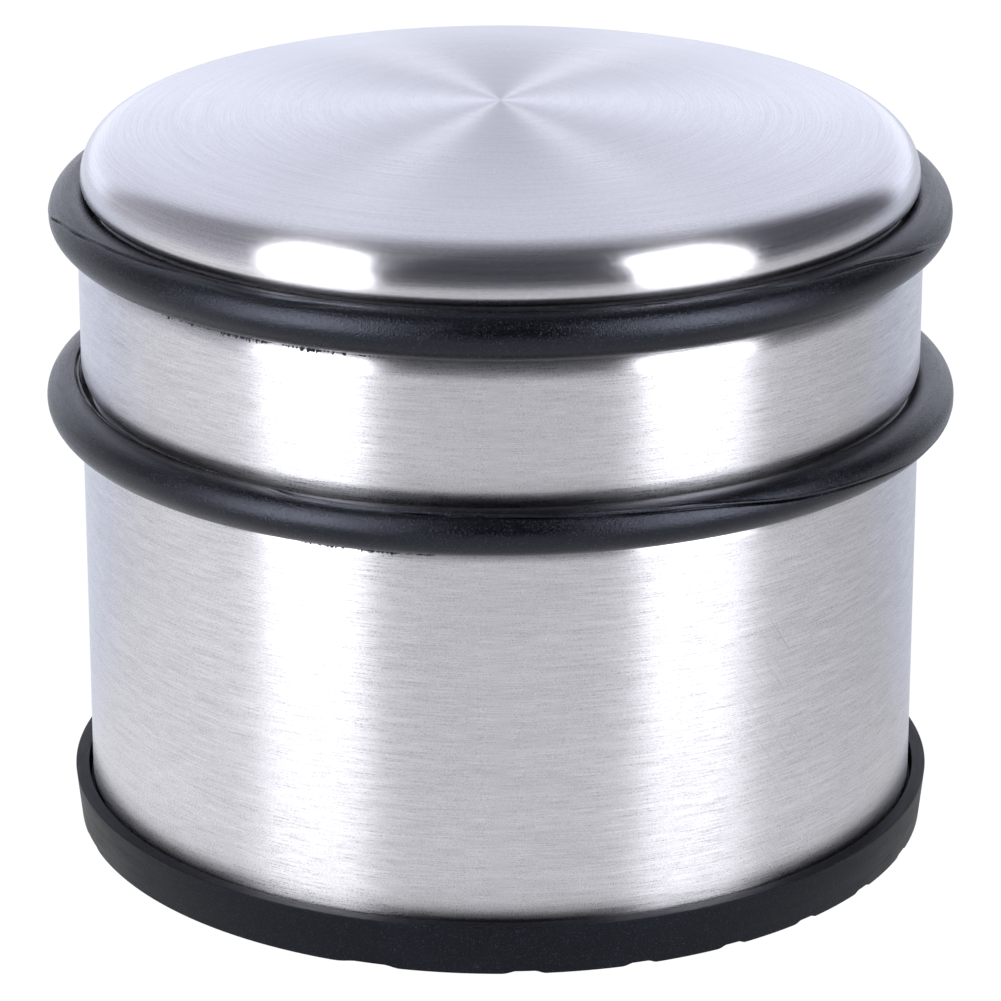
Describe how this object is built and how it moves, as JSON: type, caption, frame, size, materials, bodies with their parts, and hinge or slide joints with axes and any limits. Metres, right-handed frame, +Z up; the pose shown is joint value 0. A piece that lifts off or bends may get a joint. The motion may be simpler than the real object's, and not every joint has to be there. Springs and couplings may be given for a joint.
{
  "type": "door stop",
  "caption": "Heavy free-standing floor door stop: brushed steel drum with a domed top, rubber bumper rings round it and a ribbed rubber base.",
  "frame": {"origin": "centre of the underside, on the surface that the door stop stands on", "axes": "+Z up along the drum's axis, through the middle of the dome; -Y is the side that faces the viewer, and the tread ribs lie at 45 degrees between X and Y"},
  "size_m": [0.1006, 0.1006, 0.0825],
  "materials": {
    "brushed_steel": "brushed, in circles on the dome and round the wall",
    "ring_rubber": "moulded, satin, with a fine parting line",
    "base_rubber": "moulded, matte",
    "concrete": "cast concrete, rough",
    "zinc_plate": "zinc-plated sheet steel",
    "zinc_fixing": "bright zinc-plated steel"
  },
  "bodies": {
    "root": {"steel_shell": "brushed_steel", "upper_bumper_ring": "ring_rubber", "lower_bumper_ring": "ring_rubber", "rubber_base": "base_rubber", "concrete_ballast": "concrete", "closing_plate": "zinc_plate", "base_screw_1": "zinc_fixing", "base_screw_2": "zinc_fixing", "base_screw_3": "zinc_fixing", "base_washer_1": "zinc_fixing", "base_washer_2": "zinc_fixing", "base_washer_3": "zinc_fixing", "plate_nut_1": "zinc_fixing", "plate_nut_2": "zinc_fixing", "plate_nut_3": "zinc_fixing"}
  },
  "joints": []
}
